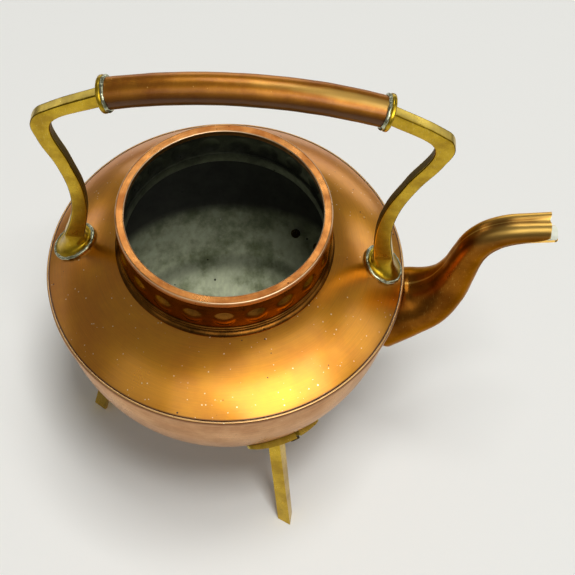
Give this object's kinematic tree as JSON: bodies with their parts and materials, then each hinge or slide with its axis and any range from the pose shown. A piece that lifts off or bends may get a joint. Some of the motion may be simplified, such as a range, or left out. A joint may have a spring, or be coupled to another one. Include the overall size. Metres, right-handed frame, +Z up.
{
  "type": "footed kettle",
  "caption": "Footed copper kettle with a soldered bail handle, an open bossed neck without a lid and a gooseneck spout with a beaked lip, standing on brass legs.",
  "frame": {"origin": "on the table, under the middle of the body", "axes": "+Z up along the body's axis, +X towards the spout, the handle lies in the XZ plane"},
  "size_m": [0.2506, 0.18, 0.3051],
  "materials": {
    "copper": "satin copper, gold-brown patina",
    "tinned_copper": "copper outside, dull tin inside",
    "brass": "aged cast brass, olive tarnish",
    "solder": "dull tin solder, left rough"
  },
  "bodies": {
    "root": {"bowl": "tinned_copper", "shoulder": "tinned_copper", "neck_collar": "copper", "mouth_ring": "copper", "spout": "copper", "grip_tube": "copper", "ferrule_front": "brass", "ferrule_rear": "brass", "bracket_front": "brass", "bracket_rear": "brass", "rove_front": "brass", "rove_rear": "brass", "leg_front": "brass", "leg_back": "brass", "leg_rear": "brass", "leg_palm_front": "brass", "leg_palm_back": "brass", "leg_palm_rear": "brass", "leg_rivets_front": "brass", "leg_rivets_back": "brass", "leg_rivets_rear": "brass", "foot_solder_front": "solder", "foot_solder_rear": "solder", "grip_solder_front": "solder", "grip_solder_rear": "solder"}
  },
  "joints": []
}
